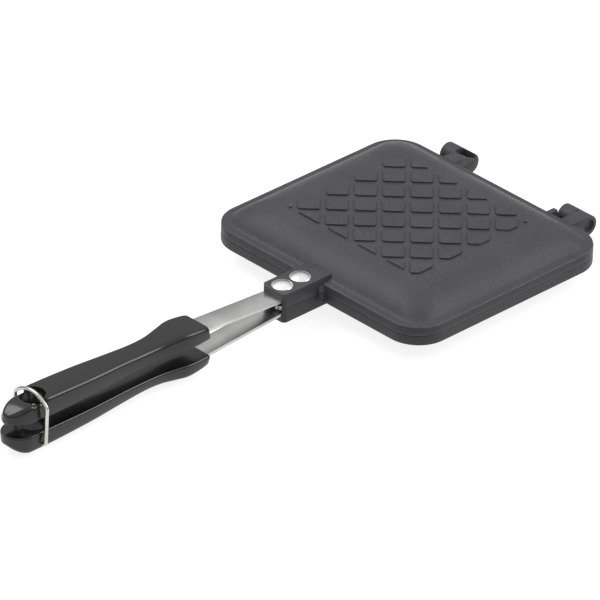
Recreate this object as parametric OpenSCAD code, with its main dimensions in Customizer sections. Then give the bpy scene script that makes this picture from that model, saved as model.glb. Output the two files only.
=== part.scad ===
// Closed hot-sandwich iron: two hinged cast pans, each on a riveted flat strap with a
// moulded grip, held shut by a wire bail at the end of the grips.
// Millimetres. +Z is up, the handle runs toward -Y and the hinge is at +Y. The origin is the
// middle of the face that the closed iron rests on. Each half is drawn above the parting
// plane, and the lower half is the mirrored one.

/* [Pans] */
// Width of the pans, across the handle
pan_width = 150; // [135:1:165]
// Length of the pans, along the handle
pan_length = 134; // [120:1:150]
// Plan radius of the rim's corners
rim_radius = 18; // [14:0.5:22]
// Height of the rim band on each pan
rim_height = 5.3; // [4.5:0.1:6.5]
// Rounding of the rim's outer edge
rim_edge = 0.8; // [0.4:0.1:1.5]
// Height from the parting plane to the flat of the crown
crown_height = 15; // [13:0.5:18]
// Radius of the convex shoulder of the crown
shoulder_radius = 16; // [12:0.5:18]
// Steepest slope of the crown's flank
flank_slope = 45; // [40:1:55]
// Slope at which the flank meets the ledge
foot_slope = 21; // [12:1:28]
// Flat ledge between the rim's edge and the foot of the crown
ledge = 2.5; // [1.5:0.1:4]
// Plan radius of the crown's flat at its corners
flat_corner = 1.5; // [1:0.5:5]
// Thickness of the pan's wall
wall = 3.4; // [2.8:0.1:4]
// Width of the flat rim that meets the other pan
mating_rim = 6; // [5:0.5:8]
// Gap between each rim and the parting plane
parting_gap = 0.1; // [0.05:0.05:0.2]

/* [Lattice] */
// Width of a raised tile
tile = 10.9; // [9:0.1:12]
// Distance from tile to tile along the lattice
tile_pitch = 14.1; // [12.6:0.1:16]
// Height of a tile above the crown
tile_height = 0.8; // [0.5:0.1:1.2]
// Rounding of a tile's corners
tile_corner = 1.6; // [0.8:0.1:2.5]
// Width of the rectangle that trims the lattice
lattice_width = 90.3; // [60:0.1:96]
// Length of the rectangle that trims the lattice
lattice_length = 79.4; // [50:0.1:82]
// Shift of the upper pan's lattice across the handle
lattice_shift_x = 1.15; // [-3:0.05:3]
// Shift of the upper pan's lattice along the handle
lattice_shift_y = 8.5; // [5:0.05:12]

/* [Handle socket] */
// Width of the socket
socket_width = 16.8; // [16.6:0.1:20]
// Reach of the socket beyond the pan's edge
socket_reach = 25.7; // [23:0.1:30]
// Height of the socket's roof above the parting plane
socket_height = 8; // [7.6:0.1:9]
// Thickness of the socket's roof
socket_roof = 3.2; // [2.4:0.1:3.6]
// Chamfer of the socket's front corners
socket_chamfer = 1.8; // [1:0.1:2.5]
// Distance from the pan's edge to the far wall of the channel
channel_start = 1.7; // [1:0.1:3]
// Side clearance of the strap in its channel and in its grip
strap_clearance = 0.15; // [0.1:0.05:0.2]

/* [Rivets] */
// Diameter of a rivet's head
rivet_head = 10.8; // [9:0.1:12]
// Height of a rivet's head
rivet_rise = 1.9; // [1.4:0.1:2.4]
// Height of the thin brim round the head
rivet_brim = 0.4; // [0.2:0.1:0.8]
// Diameter of a rivet's shank
rivet_shank = 5; // [4:0.1:6]
// Diameter of the set end inside the channel
rivet_tail = 7.4; // [6.5:0.1:8.5]
// Height of the set end
rivet_tail_rise = 1.2; // [0.8:0.1:1.4]
// Radial clearance of the shank in its holes
rivet_clearance = 0.05; // [0.03:0.01:0.1]
// Distance from one rivet to the other
rivet_pitch = 12.2; // [11.5:0.1:12.6]
// Distance from the pan's edge to the nearer rivet
rivet_start = 7.3; // [6.5:0.1:8]

/* [Straps] */
// Width of a strap
strap_width = 13.2; // [12:0.1:13.2]
// Thickness of a strap
strap_thickness = 1.8; // [1.5:0.1:2]
// Distance from the socket's mouth to the strap's bend
bend_start = 1.5; // [1:0.1:4]
// Angle by which the strap leaves the parting plane
strap_angle = 3.8; // [3:0.1:4.2]
// Length of the tang inside the grip
tang_length = 34; // [20:1:42]
// Slope of the tang inside the grip
tang_angle = 1.5; // [1:0.1:2]

/* [Grips] */
// Distance from the socket's mouth to the front of the grips
grip_start = 51.3; // [45:0.5:60]
// Length of a grip from its front to the bail
grip_length = 107; // [100:1:115]
// Length of a grip's nose behind the bail
nose_length = 21.8; // [19:0.1:22]
// Half width of a grip at its front, without the swell
grip_half_front = 6.9; // [6.8:0.1:7.5]
// Half width of a grip at the bail
grip_half_rear = 9.8; // [9.2:0.1:10]
// How far the swell widens the grip to each side
swell_side = 3.4; // [2.5:0.1:4]
// Distance from the grip's front to the middle of the swell
swell_place = 9; // [6:0.5:14]
// Length over which the swell fades
swell_fade = 14; // [10:0.5:18]
// Height of a grip's outer face at its front, without the swell
grip_high_front = 9.9; // [9.9:0.1:11]
// Height of a grip's outer face at the bail
grip_high_rear = 13.7; // [12.8:0.1:13.8]
// How far the swell thickens the grip
swell_rise = 1.7; // [1:0.1:2.2]
// Height of a grip's inner face at its front
grip_low_front = 4.6; // [4:0.1:4.8]
// Height of a grip's inner face at the tip
grip_low_rear = 1.1; // [0.6:0.1:1.8]
// Rounding of a grip's long edges
grip_round = 2.6; // [1.8:0.1:3]
// Half width of the upper nose
nose_half = 8; // [7.6:0.1:8.4]
// Share of the upper nose's width that is left at its top
nose_taper = 0.74; // [0.65:0.01:0.85]
// Diameter of the hanging hole
hang_hole = 13; // [10:0.5:13.5]
// Distance from the end of the upper grip's body to the middle of the hanging hole
hang_offset = 1.7; // [1:0.1:3]

/* [Hinges] */
// Distance from the pan's edge to the hinge axis
hinge_offset = 11.3; // [10:0.1:13]
// Radius of the barrels and ears
hinge_radius = 5.6; // [5:0.1:6]
// Diameter of the stub pins
pin_diameter = 5.6; // [4:0.1:6]
// Radial running clearance of the stub pins
pin_clearance = 0.06; // [0.03:0.01:0.1]
// Side gap between a barrel and its ear
hinge_gap = 0.4; // [0.2:0.1:0.8]
// Place of the right ear's inner face, from the middle
right_ear = 42.4; // [38:0.1:46]
// Place of the left ear's outer face, from the middle
left_ear = 41; // [38:0.1:44]
// Width of an ear
ear_width = 8.2; // [7:0.1:9]
// Width of a barrel
barrel_width = 8.7; // [7:0.1:9.5]
// Thickness of the barrel's wall behind a stub pin
pin_floor = 1.5; // [1:0.1:2.5]
// How far a stub pin stops short of its ear's outer face
pin_recess = 1.3; // [0.6:0.1:2]
// Width of the lug that keeps the pans from sliding apart
lug_width = 3.1; // [2:0.1:4]
// Reach of the lug beyond the pan's edge
lug_reach = 4.5; // [3:0.1:5]
// Depth of the lug below the parting plane
lug_depth = 3.5; // [2:0.1:4]

/* [Bail] */
// Diameter of the bail's wire
wire = 2; // [1.6:0.1:2.2]
// Half distance between the bail's legs
bail_half = 11.9; // [11.7:0.1:13]
// Height of the top of the bail above its pivot
bail_height = 26; // [25.8:0.1:28]
// Rise of the arch above the corners
arch_rise = 5; // [3.5:0.1:6]
// Radius of the upper corners
bail_corner = 2.2; // [1.5:0.1:3]
// Radius of the bends at the pivots
bail_bend = 1.6; // [1.2:0.1:1.8]
// Depth of the pivots below the parting plane
pivot_depth = 10; // [9.5:0.1:10.2]
// Distance from the end of the upper grip's body to the pivots
pivot_offset = 3.2; // [2.8:0.1:3.6]
// Radial running clearance of the bail's ends
pivot_clearance = 0.08; // [0.05:0.01:0.1]
// Distance of the bail's ends from the middle
bail_end = 7.4; // [7.2:0.1:7.8]
// Lean of the closed bail toward the pans
bail_lean = 3; // [2:0.5:3.5]

/* [Hidden] */
$fn = 64;

pan_colour = [0.25, 0.25, 0.27];
pin_colour = [0.4, 0.4, 0.41];
steel_colour = [0.75, 0.75, 0.74];
rivet_colour = [0.86, 0.87, 0.9];
grip_colour = [0.12, 0.12, 0.13];
bail_colour = [0.82, 0.8, 0.74];

// Cutters run this far past what they cut
over = 1;
// Height of the parting plane above the face that the iron rests on
parting_plane = crown_height + tile_height;

// The crown's flank is an S curve: a convex shoulder, then a concave flare
shoulder_drop = shoulder_radius * (1 - cos(flank_slope));
flare_drop = crown_height - rim_height - shoulder_drop;
flare_radius = flare_drop / (cos(foot_slope) - cos(flank_slope));
shoulder_reach = shoulder_radius * sin(flank_slope);
flare_reach = flare_radius * (sin(flank_slope) - sin(foot_slope));
crown_reach = flat_corner + shoulder_reach + flare_reach;
shoulder_z = crown_height - shoulder_radius;
flare_r = flat_corner + (shoulder_radius + flare_radius) * sin(flank_slope);
flare_z = shoulder_z + (shoulder_radius + flare_radius) * cos(flank_slope);
mouth_reach = crown_reach + ledge - mating_rim;

// Middles of the corner arcs, as half widths and half lengths
rim_centre = [pan_width / 2 - rim_radius, pan_length / 2 - rim_radius];
crown_centre = [pan_width / 2 - ledge - crown_reach, pan_length / 2 - ledge - crown_reach];

// Places along the handle
pan_edge = -pan_length / 2;
socket_mouth = pan_edge - socket_reach;
strap_end = pan_edge - channel_start - strap_clearance;
strap_outer = socket_height - socket_roof;
strap_bend = socket_mouth - bend_start;
grip_front = socket_mouth - grip_start;
grip_body_end = grip_front - grip_length;
grip_tip = grip_body_end - nose_length;
hang_y = grip_body_end - hang_offset;
pivot_y = grip_body_end - pivot_offset;
tang_outer = strap_outer + (strap_bend - grip_front) * tan(strap_angle);
rear_rivet_y = pan_edge - rivet_start;
front_rivet_y = rear_rivet_y - rivet_pitch;
hinge_y = pan_length / 2 + hinge_offset;

// Lattice counts that cover the trimmed rectangle
tile_step = tile_pitch / sqrt(2);
tile_columns = ceil(lattice_width / 2 / tile_step) + 1;
tile_rows = ceil(lattice_length / 2 / tile_step) + 1;

// How far the bail's wire swells where its arch meets a corner
bail_seam = 0.02;

// Rings of the lofted grips
body_rings = 26;
nose_rings = 9;
front_round = 0.9;

// ---- Placing the halves ----

module upper_half() {
    translate([0, 0, parting_plane]) children();
}

module lower_half() {
    translate([0, 0, parting_plane]) mirror([0, 0, 1]) children();
}

// ---- Pans ----

// A profile drawn as radius and height, carried round a rectangle with corner arcs
module carried_round(centre, height) {
    for (side_x = [0, 1], side_y = [0, 1])
        mirror([side_x, 0, 0]) mirror([0, side_y, 0])
            translate([centre[0], centre[1], 0])
                rotate_extrude(angle = 90) children();
    for (side_y = [0, 1])
        mirror([0, side_y, 0]) translate([-centre[0], centre[1], 0])
            rotate([90, 0, 90]) linear_extrude(2 * centre[0]) children();
    for (side_x = [0, 1])
        mirror([side_x, 0, 0]) translate([centre[0], centre[1], 0])
            rotate([90, 0, 0]) linear_extrude(2 * centre[1]) children();
    core = centre + [1, 1] * flat_corner / 2;
    translate([-core[0], -core[1], height[0]])
        cube([2 * core[0], 2 * core[1], height[1] - height[0]]);
}

module rim_profile() {
    difference() {
        translate([0, parting_gap]) square([rim_radius, rim_height - parting_gap]);
        translate([rim_radius - rim_edge, rim_height - rim_edge])
            difference() {
                square(rim_edge + over);
                circle(rim_edge);
            }
    }
}

// The S curve of the crown, or the same curve set in by the wall for the hollow
module crown_profile(set_in, low, reach) {
    join_r = flat_corner + (shoulder_radius - set_in) * sin(flank_slope);
    join_z = shoulder_z + (shoulder_radius - set_in) * cos(flank_slope);
    translate([0, low]) square([flat_corner, crown_height - set_in - low]);
    intersection() {
        translate([flat_corner, shoulder_z]) circle(shoulder_radius - set_in);
        translate([0, low]) square([join_r, crown_height - set_in - low]);
    }
    difference() {
        translate([join_r, low]) square([reach - join_r, join_z - low]);
        translate([flare_r, flare_z]) circle(flare_radius + set_in);
    }
}

module tile_shape() {
    rotate(45) {
        square([tile, tile - 2 * tile_corner], center = true);
        square([tile - 2 * tile_corner, tile], center = true);
        for (x = [-1, 1], y = [-1, 1])
            translate([x, y] * (tile / 2 - tile_corner)) circle(tile_corner);
    }
}

module lattice(shift) {
    sunk = wall / 2;
    translate([0, 0, crown_height - sunk]) linear_extrude(tile_height + sunk) intersection() {
        square([lattice_width, lattice_length], center = true);
        for (column = [-tile_columns : tile_columns], row = [-tile_rows : tile_rows])
            if ((column + row) % 2 == 0)
                translate(shift + [column, row] * tile_step) tile_shape();
    }
}

module socket_block() {
    half = socket_width / 2;
    root = pan_edge + ledge + crown_reach - flat_corner - shoulder_reach;
    translate([0, 0, parting_gap]) linear_extrude(socket_height - parting_gap)
        polygon([[-half, root], [-half, socket_mouth + socket_chamfer],
                 [-half + socket_chamfer, socket_mouth], [half - socket_chamfer, socket_mouth],
                 [half, socket_mouth + socket_chamfer], [half, root]]);
}

module socket_channel() {
    half = strap_width / 2 + strap_clearance;
    translate([-half, socket_mouth - over, -over])
        cube([2 * half, socket_reach - channel_start + over, strap_outer + over]);
}

module rivet_holes() {
    for (y = [front_rivet_y, rear_rivet_y])
        translate([0, y, 0])
            cylinder(h = socket_height + over, r = rivet_shank / 2 + rivet_clearance);
}

module pan(shift) {
    difference() {
        union() {
            carried_round(rim_centre, [parting_gap, rim_height]) rim_profile();
            carried_round(crown_centre, [parting_gap, crown_height])
                crown_profile(0, parting_gap, crown_reach);
            lattice(shift);
            socket_block();
        }
        carried_round(crown_centre, [-over, crown_height - wall])
            crown_profile(wall, -over, mouth_reach);
        socket_channel();
        rivet_holes();
    }
}

// A round end on the hinge axis with an arm back into the rim
module hinge_arm(inner, width, arm_inner) {
    translate([inner, hinge_y, 0]) rotate([0, 90, 0]) cylinder(h = width, r = hinge_radius);
    translate([arm_inner, pan_length / 2 - over, 3 * parting_gap])
        cube([inner + width - arm_inner, hinge_offset + over, hinge_radius - 3 * parting_gap]);
}

module hinge_bore(inner) {
    translate([inner - over, hinge_y, 0]) rotate([0, 90, 0])
        cylinder(h = ear_width + 2 * over, r = pin_diameter / 2 + pin_clearance);
}

// Ears of the upper pan: the right one is a closed eye, the left one a hook open at the top
module upper_ears() {
    slot = pin_diameter / 2 + pin_clearance;
    difference() {
        hinge_arm(right_ear, ear_width, right_ear);
        hinge_bore(right_ear);
    }
    difference() {
        hinge_arm(-left_ear, ear_width, -left_ear);
        hinge_bore(-left_ear);
        translate([-left_ear - over, hinge_y - slot, 0])
            cube([ear_width + 2 * over, 2 * slot, hinge_radius + over]);
    }
}

lug_inner = right_ear - hinge_gap - barrel_width - over;
barrel_arm = lug_inner + lug_width + hinge_gap;
lug_clear = sqrt(pow(hinge_offset - 2 * parting_gap, 2) - pow(lug_depth, 2));

module upper_lug() {
    translate([lug_inner, pan_length / 2 - over, 3 * parting_gap])
        cube([lug_width, lug_reach + over, hinge_radius - 3 * parting_gap]);
    translate([lug_inner, hinge_y - lug_clear, -lug_depth])
        cube([lug_width, lug_clear - hinge_offset + lug_reach, lug_depth + 6 * parting_gap]);
}

right_inner = right_ear - hinge_gap - barrel_width;
left_inner = -left_ear - hinge_gap - barrel_width;

// A stub pin pressed into a barrel, running in the ear beside it
module pin_shape(inner, extra) {
    translate([inner + pin_floor, hinge_y, 0]) rotate([0, 90, 0])
        cylinder(h = barrel_width - pin_floor + hinge_gap + ear_width - pin_recess + extra,
                 r = pin_diameter / 2);
}

// Barrels of the lower pan, bored for the stub pins
module lower_barrels() {
    difference() {
        union() {
            hinge_arm(right_inner, barrel_width, barrel_arm);
            hinge_arm(left_inner, barrel_width, left_inner);
        }
        pin_shape(right_inner, over);
        pin_shape(left_inner, over);
    }
}

module right_hinge_pin() {
    color(pin_colour) lower_half() pin_shape(right_inner, 0);
}

module left_hinge_pin() {
    color(pin_colour) lower_half() pin_shape(left_inner, 0);
}

module lower_pan() {
    color(pan_colour) lower_half() {
        pan([0, 0]);
        lower_barrels();
    }
}

module upper_pan() {
    color(pan_colour) upper_half() {
        pan([lattice_shift_x, lattice_shift_y]);
        upper_ears();
        upper_lug();
    }
}

// ---- Straps and rivets ----

// Side view of the strap: flat in the socket, bent apart, and bent back inside the grip
module strap_shape(extra) {
    end_y = grip_front - tang_length - extra;
    end_z = tang_outer + (grip_front - end_y) * tan(tang_angle);
    t = strap_thickness;
    polygon([[strap_end, strap_outer - t], [strap_end, strap_outer + extra],
             [strap_bend, strap_outer + extra], [grip_front, tang_outer + extra],
             [end_y, end_z + extra], [end_y, end_z - t - extra],
             [grip_front, tang_outer - t - extra], [strap_bend, strap_outer - t - extra],
             [strap_end, strap_outer - t - extra]]);
}

module strap_solid(extra) {
    width = strap_width + 2 * extra;
    translate([-width / 2, 0, 0]) rotate([90, 0, 90]) linear_extrude(width)
        strap_shape(extra);
}

module strap() {
    color(steel_colour) difference() {
        strap_solid(0);
        rivet_holes();
    }
}

module lower_strap() {
    lower_half() strap();
}

module upper_strap() {
    upper_half() strap();
}

module rivet(y) {
    cap = rivet_rise - rivet_brim;
    cap_base = rivet_head / 2 - rivet_brim;
    ball = (pow(cap_base, 2) + pow(cap, 2)) / (2 * cap);
    inner = strap_outer - strap_thickness;
    color(rivet_colour) translate([0, y, 0]) {
        translate([0, 0, socket_height]) cylinder(h = rivet_brim, r = rivet_head / 2);
        intersection() {
            translate([0, 0, socket_height + rivet_rise - ball]) sphere(ball);
            translate([0, 0, socket_height]) cylinder(h = rivet_rise + over, r = cap_base);
        }
        translate([0, 0, inner]) cylinder(h = socket_height - inner + rivet_brim / 2,
                                          r = rivet_shank / 2);
        translate([0, 0, inner - rivet_tail_rise])
            cylinder(h = rivet_tail_rise, r = rivet_tail / 2);
    }
}

module lower_front_rivet() {
    lower_half() rivet(front_rivet_y);
}

module lower_rear_rivet() {
    lower_half() rivet(rear_rivet_y);
}

module upper_front_rivet() {
    upper_half() rivet(front_rivet_y);
}

module upper_rear_rivet() {
    upper_half() rivet(rear_rivet_y);
}

// ---- Grips ----

function mix(a, b, t) = a + (b - a) * t;
function swell(s) = exp(-pow((s - swell_place) / swell_fade, 2));
function body_half(s) =
    mix(grip_half_front, grip_half_rear, s / grip_length) + swell_side * swell(s);
function body_high(s) =
    mix(grip_high_front, grip_high_rear, s / grip_length) + swell_rise * swell(s - 3);
function body_low(s) = mix(grip_low_front, grip_low_rear, s / (grip_length + nose_length));
// How much of the size is left at share u of the nose, which ends blunt
function nose_left(u) = pow(1 - pow(0.985 * u, 3), 0.5);

// Right half of a grip's outline: half width low and high, height of inner and outer face
function half_outline(low_half, high_half, low, high) =
    let (r = grip_round * min(1, (high - low) / 6, high_half / 5))
    [[low_half - r, low], [low_half - 0.35 * r, low + 0.25 * r],
     [low_half - 0.05 * r, low + 0.75 * r], [low_half, low + 1.2 * r],
     [high_half, high - r], [high_half - 0.2 * r, high - 0.45 * r],
     [high_half - 0.5 * r, high - 0.15 * r], [high_half - r, high]];

function ring(s, low_half, high_half, low, high) =
    let (half = half_outline(low_half, high_half, low, high), last = len(half) - 1)
    concat([for (p = half) [p[0], grip_front - s, p[1]]],
           [for (i = [last : -1 : 0]) [-half[i][0], grip_front - s, half[i][1]]]);

function body_ring(s, shrink) =
    ring(s, body_half(s) - shrink, body_half(s) - shrink,
         body_low(s) + shrink, body_high(s) - shrink);

function nose_ring(u, start_half, taper, start_high) =
    let (s = grip_length + u * nose_length, left = nose_left(u), low = body_low(s))
    ring(s, start_half * left, start_half * taper * left, low,
         low + (start_high - low) * left);

module loft(rings) {
    count = len(rings[0]);
    last = len(rings) - 1;
    points = [for (r = rings, p = r) p];
    sides = [for (k = [0 : last - 1], i = [0 : count - 1])
        let (j = (i + 1) % count, a = k * count, b = a + count)
        each [[a + i, b + j, a + j], [a + i, b + i, b + j]]];
    caps = [[for (i = [0 : count - 1]) i],
            [for (i = [count - 1 : -1 : 0]) last * count + i]];
    polyhedron(points = points, faces = concat(sides, caps), convexity = 4);
}

function body_rings_to(end_shrink) =
    concat([body_ring(0, front_round), body_ring(front_round, 0)],
           [for (k = [1 : body_rings - 1])
               body_ring(front_round + (grip_length - 2 * front_round) * k / body_rings, 0)],
           [body_ring(grip_length - front_round, 0), body_ring(grip_length, end_shrink)]);

function nose_rings_from(start_half, taper, start_high) =
    [for (k = [0 : nose_rings])
        nose_ring(sin(90 * k / nose_rings), start_half, taper, start_high)];

module hang_bore() {
    translate([0, hang_y, 0]) cylinder(h = grip_high_rear + 2 * over, r = hang_hole / 2);
}

module lower_grip() {
    color(grip_colour) lower_half() difference() {
        loft(concat(body_rings_to(0),
                    [for (k = [1 : nose_rings])
                        nose_ring(sin(90 * k / nose_rings), grip_half_rear, 1, grip_high_rear)]));
        hang_bore();
        strap_solid(strap_clearance);
        for (side = [0, 1])
            mirror([side, 0, 0]) translate([bail_end - pivot_clearance, pivot_y, pivot_depth])
                rotate([0, 90, 0]) cylinder(h = grip_half_rear, r = wire / 2 + pivot_clearance);
    }
}

module upper_grip() {
    nose_high = grip_high_rear - 0.8;
    color(grip_colour) upper_half() difference() {
        union() {
            loft(body_rings_to(front_round));
            loft(concat([ring(grip_length - front_round, nose_half, nose_half * nose_taper,
                              body_low(grip_length), nose_high)],
                        nose_rings_from(nose_half, nose_taper, nose_high)));
        }
        hang_bore();
        strap_solid(strap_clearance);
    }
}

// ---- Bail ----

module wire_arc(radius, angle) {
    rotate_extrude(angle = angle) translate([radius, 0]) circle(wire / 2);
}

// Drawn in the XZ plane with the pivots on the X axis, then leant toward the pans
module bail() {
    arch = (pow(bail_half, 2) + pow(arch_rise, 2)) / (2 * arch_rise);
    arch_z = bail_height - arch;
    inner = bail_half - bail_corner;
    corner_z = arch_z + sqrt(pow(arch - bail_corner, 2) - pow(inner, 2));
    corner_angle = atan2(corner_z - arch_z, inner);
    color(bail_colour) translate([0, pivot_y, parting_plane - pivot_depth])
        rotate([-bail_lean, 0, 0]) {
            translate([0, 0, arch_z]) rotate([90, 0, 0]) rotate(corner_angle)
                wire_arc(arch, 180 - 2 * corner_angle);
            for (side = [0, 1]) mirror([side, 0, 0]) {
                translate([inner, 0, corner_z]) rotate([90, 0, 0])
                    wire_arc(bail_corner, corner_angle);
                translate([arch * cos(corner_angle), 0, arch_z + arch * sin(corner_angle)])
                    sphere(wire / 2 + bail_seam);
                translate([bail_half, 0, bail_bend])
                    cylinder(h = corner_z - bail_bend, r = wire / 2);
                translate([bail_half - bail_bend, 0, bail_bend]) rotate([90, 0, 0])
                    rotate(-90) wire_arc(bail_bend, 90);
                translate([bail_end, 0, 0]) rotate([0, 90, 0])
                    cylinder(h = bail_half - bail_bend - bail_end, r = wire / 2);
            }
        }
}

lower_pan();
upper_pan();
right_hinge_pin();
left_hinge_pin();
lower_strap();
upper_strap();
lower_front_rivet();
lower_rear_rivet();
upper_front_rivet();
upper_rear_rivet();
lower_grip();
upper_grip();
bail();
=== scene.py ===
"""Looks of a closed hot-sandwich iron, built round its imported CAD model.

Two hinged cast pans with a diamond lattice, each on a riveted flat strap with a moulded grip,
held shut by a wire bail. Lengths are metres, in the CAD model's own frame: +Z is up, the
handle runs toward -Y and the hinge is at +Y. Each half is drawn above the parting plane, and
the lower half is the mirrored one.
"""

import math
from types import SimpleNamespace

import bmesh
import bpy
from bpy.props import (
    FloatProperty,
    FloatVectorProperty,
    IntProperty,
    PointerProperty,
)
from mathutils import Matrix, Vector


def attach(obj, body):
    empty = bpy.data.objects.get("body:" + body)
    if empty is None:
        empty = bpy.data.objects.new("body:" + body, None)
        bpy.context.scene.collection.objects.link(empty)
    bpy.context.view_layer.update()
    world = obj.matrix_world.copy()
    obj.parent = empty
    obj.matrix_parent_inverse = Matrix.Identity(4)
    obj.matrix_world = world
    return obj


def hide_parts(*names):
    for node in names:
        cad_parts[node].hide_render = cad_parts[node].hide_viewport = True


bl_info = {
    "name": "Sandwich Iron",
    "version": (1, 0, 0),
    "blender": (4, 5, 0),
    "location": "3D View > Sidebar > Sandwich Iron",
    "description": "Builds the pans, straps, rivets, grips, bail and stage of a sandwich iron",
    "category": "Object",
}

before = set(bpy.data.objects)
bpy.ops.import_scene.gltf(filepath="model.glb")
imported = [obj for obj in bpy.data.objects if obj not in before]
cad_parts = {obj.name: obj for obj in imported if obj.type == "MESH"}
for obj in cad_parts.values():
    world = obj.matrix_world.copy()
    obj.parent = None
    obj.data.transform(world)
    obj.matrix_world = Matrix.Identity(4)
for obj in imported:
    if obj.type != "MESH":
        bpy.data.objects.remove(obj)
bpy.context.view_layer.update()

# Vertices closer than this are one vertex
MERGE = 1e-7
# Edges sharper than this stay sharp when a piece is shaded
SHARP_ANGLE = math.radians(32)
# Edges sharper than this are softened, or marked as worn
EDGE_ANGLE = math.radians(24)
# Cutters run this far past what they cut
OVER = 0.001

# Faces that would lie on each other are kept this far apart, and a turned solid ends this far
# from its axis
TINY = 0.00002
# Chamfer between a rim's side and its mating face
MATING_EDGE = 0.0002
# Share of its width that the lower block of a socket keeps, so that its sides don't lie on
# the cap's
BLOCK_SHARE = 0.999
# Share of a rivet's brim that is bevelled
BRIM_BEVEL = 0.3

CORNER_STEPS = 16
EDGE_STEPS = 3
SHOULDER_STEPS = 14
FOOT_STEPS = 7
ROUND_STEPS = 6
DOME_STEPS = 12
TURN_STEPS = 64

# Signs of X and Y in the four quarters of a turn
QUARTERS = ((1, 1), (-1, 1), (-1, -1), (1, -1))

# Tiles along each diagonal of the two lattices, before the trim
UPPER_TILES = 10
LOWER_TILES = 11

# Outline of a grip's body: share of its length, share of its width, and height of its outer
# face above the middle of the strap
GRIP_OUTLINE = (
    (0.00, 0.95, 0.0036),
    (0.06, 1.00, 0.0045),
    (0.13, 0.99, 0.0051),
    (0.20, 0.87, 0.0046),
    (0.28, 0.76, 0.0038),
    (0.38, 0.73, 0.0037),
    (0.52, 0.77, 0.0044),
    (0.70, 0.87, 0.0052),
    (0.87, 0.90, 0.0059),
    (1.00, 0.90, 0.0063),
)
OUTLINE_STEPS = 8
# Steps from a grip's rounded front to its first plain ring
FRONT_STEPS = 3
# Largest rounding of a grip's edges, as a share of its half width or its height there
ROUND_LIMIT = 0.45
NOSE_STEPS = 14
# Share of a nose that is left out at its blunt tip
NOSE_BLUNT = 0.985
# How early a nose's outer face drops toward its tip
NOSE_DROP = 1.5
# Rounding of the upper nose's front, and how far the neck's inner face is set in from the body's
NOSE_EDGE = 0.0006
NECK_GAP = 0.00003


# ---- Settings ----


def length(name, description, default):
    return FloatProperty(
        name=name,
        description=description,
        default=default,
        min=0.0,
        precision=5,
        subtype="DISTANCE",
        unit="LENGTH",
    )


def angle(name, description, degrees):
    return FloatProperty(
        name=name,
        description=description,
        default=math.radians(degrees),
        subtype="ANGLE",
        unit="ROTATION",
    )


def share(name, description, default):
    return FloatProperty(
        name=name,
        description=description,
        default=default,
        min=0.0,
        max=1.0,
        subtype="FACTOR",
    )


def power(name, description, default):
    return FloatProperty(name=name, description=description, default=default, unit="POWER")


def colour(name, description, default):
    return FloatVectorProperty(
        name=name,
        description=description,
        default=default,
        size=3,
        min=0.0,
        max=1.0,
        subtype="COLOR",
    )


class PanSettings(bpy.types.PropertyGroup):
    """Sizes and finish of the two cast pans"""

    width: length("Width", "Width of the pans, across the handle", 0.150)
    length: length("Length", "Length of the pans, along the handle", 0.134)
    rim_radius: length("Rim radius", "Plan radius of the rim's corners", 0.018)
    rim_height: length("Rim height", "Height of the rim band on each pan", 0.0053)
    rim_edge: length("Rim edge", "Rounding of the rim's outer edge", 0.0008)
    crown_height: length(
        "Crown height", "Height from the parting plane to the flat of the crown", 0.015
    )
    crown_corner: length("Crown corner", "Plan radius of the crown's corners", 0.012)
    shoulder_radius: length(
        "Shoulder radius", "Radius of the convex shoulder of the crown", 0.026
    )
    foot_radius: length(
        "Foot radius", "Radius of the concave foot of the crown", 0.004
    )
    ledge: length("Ledge", "Flat ledge from the rim's edge to the crown", 0.0026)
    wall: length("Wall", "Thickness of the pan's wall", 0.0034)
    parting_gap: length(
        "Parting gap", "Gap between each rim and the parting plane", 0.0001
    )
    edge_round: length("Edge rounding", "Rounding of the cast edges", 0.0004)
    finish: colour("Colour", "Colour of the cast metal", (0.041, 0.041, 0.047))
    worn: colour("Worn colour", "Colour where edges are rubbed bright", (0.11, 0.11, 0.115))
    # Painted shade: the dark colour put on the lattice's steep sides, where shade falls in the
    # grooves between the tiles
    crevice: colour(
        "Painted shade colour", "Colour of the lattice's steep sides", (0.008, 0.008, 0.009)
    )
    roughness: share("Roughness", "Roughness of the cast metal", 0.46)
    sheen: share("Sheen", "Level of the coating's reflection", 0.30)


class LatticeSettings(bpy.types.PropertyGroup):
    """Sizes of the raised diamond lattice on the crowns"""

    tile: length("Tile", "Width of a raised tile", 0.0109)
    pitch: length("Pitch", "Distance from tile to tile along the lattice", 0.0141)
    stretch: FloatProperty(
        name="Stretch",
        description="How much longer tiles and pitch are along the other diagonal",
        default=1.057,
        min=0.5,
    )
    height: length("Height", "Height of a tile above the crown", 0.0008)
    corner: length("Corner", "Rounding of a tile's corners", 0.0016)
    edge: length("Edge", "Rounding of a tile's upper edges", 0.0006)
    width: length("Trimmed width", "Width of the trimmed lattice", 0.0903)
    length: length("Trimmed length", "Length of the trimmed lattice", 0.0794)
    margin: length("Margin", "Reach past the trim within which a tile is kept", 0.003)
    mark: length("Mark", "Width of the small marks at opposite corners", 0.0021)


class SocketSettings(bpy.types.PropertyGroup):
    """Sizes of the sockets that hold the straps"""

    width: length("Width", "Width of the socket", 0.0162)
    reach: length("Reach", "Reach of the socket beyond the pan's edge", 0.0257)
    height: length("Height", "Height of the socket's roof", 0.008)
    roof: length("Roof", "Thickness of the socket's roof", 0.0032)
    chamfer: length("Chamfer", "Chamfer of the socket's front corners", 0.0015)
    fillet: length("Fillet", "Radius where the socket meets the rim", 0.002)
    root: length("Root", "Reach of the socket into the crown's flank", 0.0077)
    channel_start: length(
        "Channel start", "Distance from the pan's edge to the channel's far wall", 0.0017
    )


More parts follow.
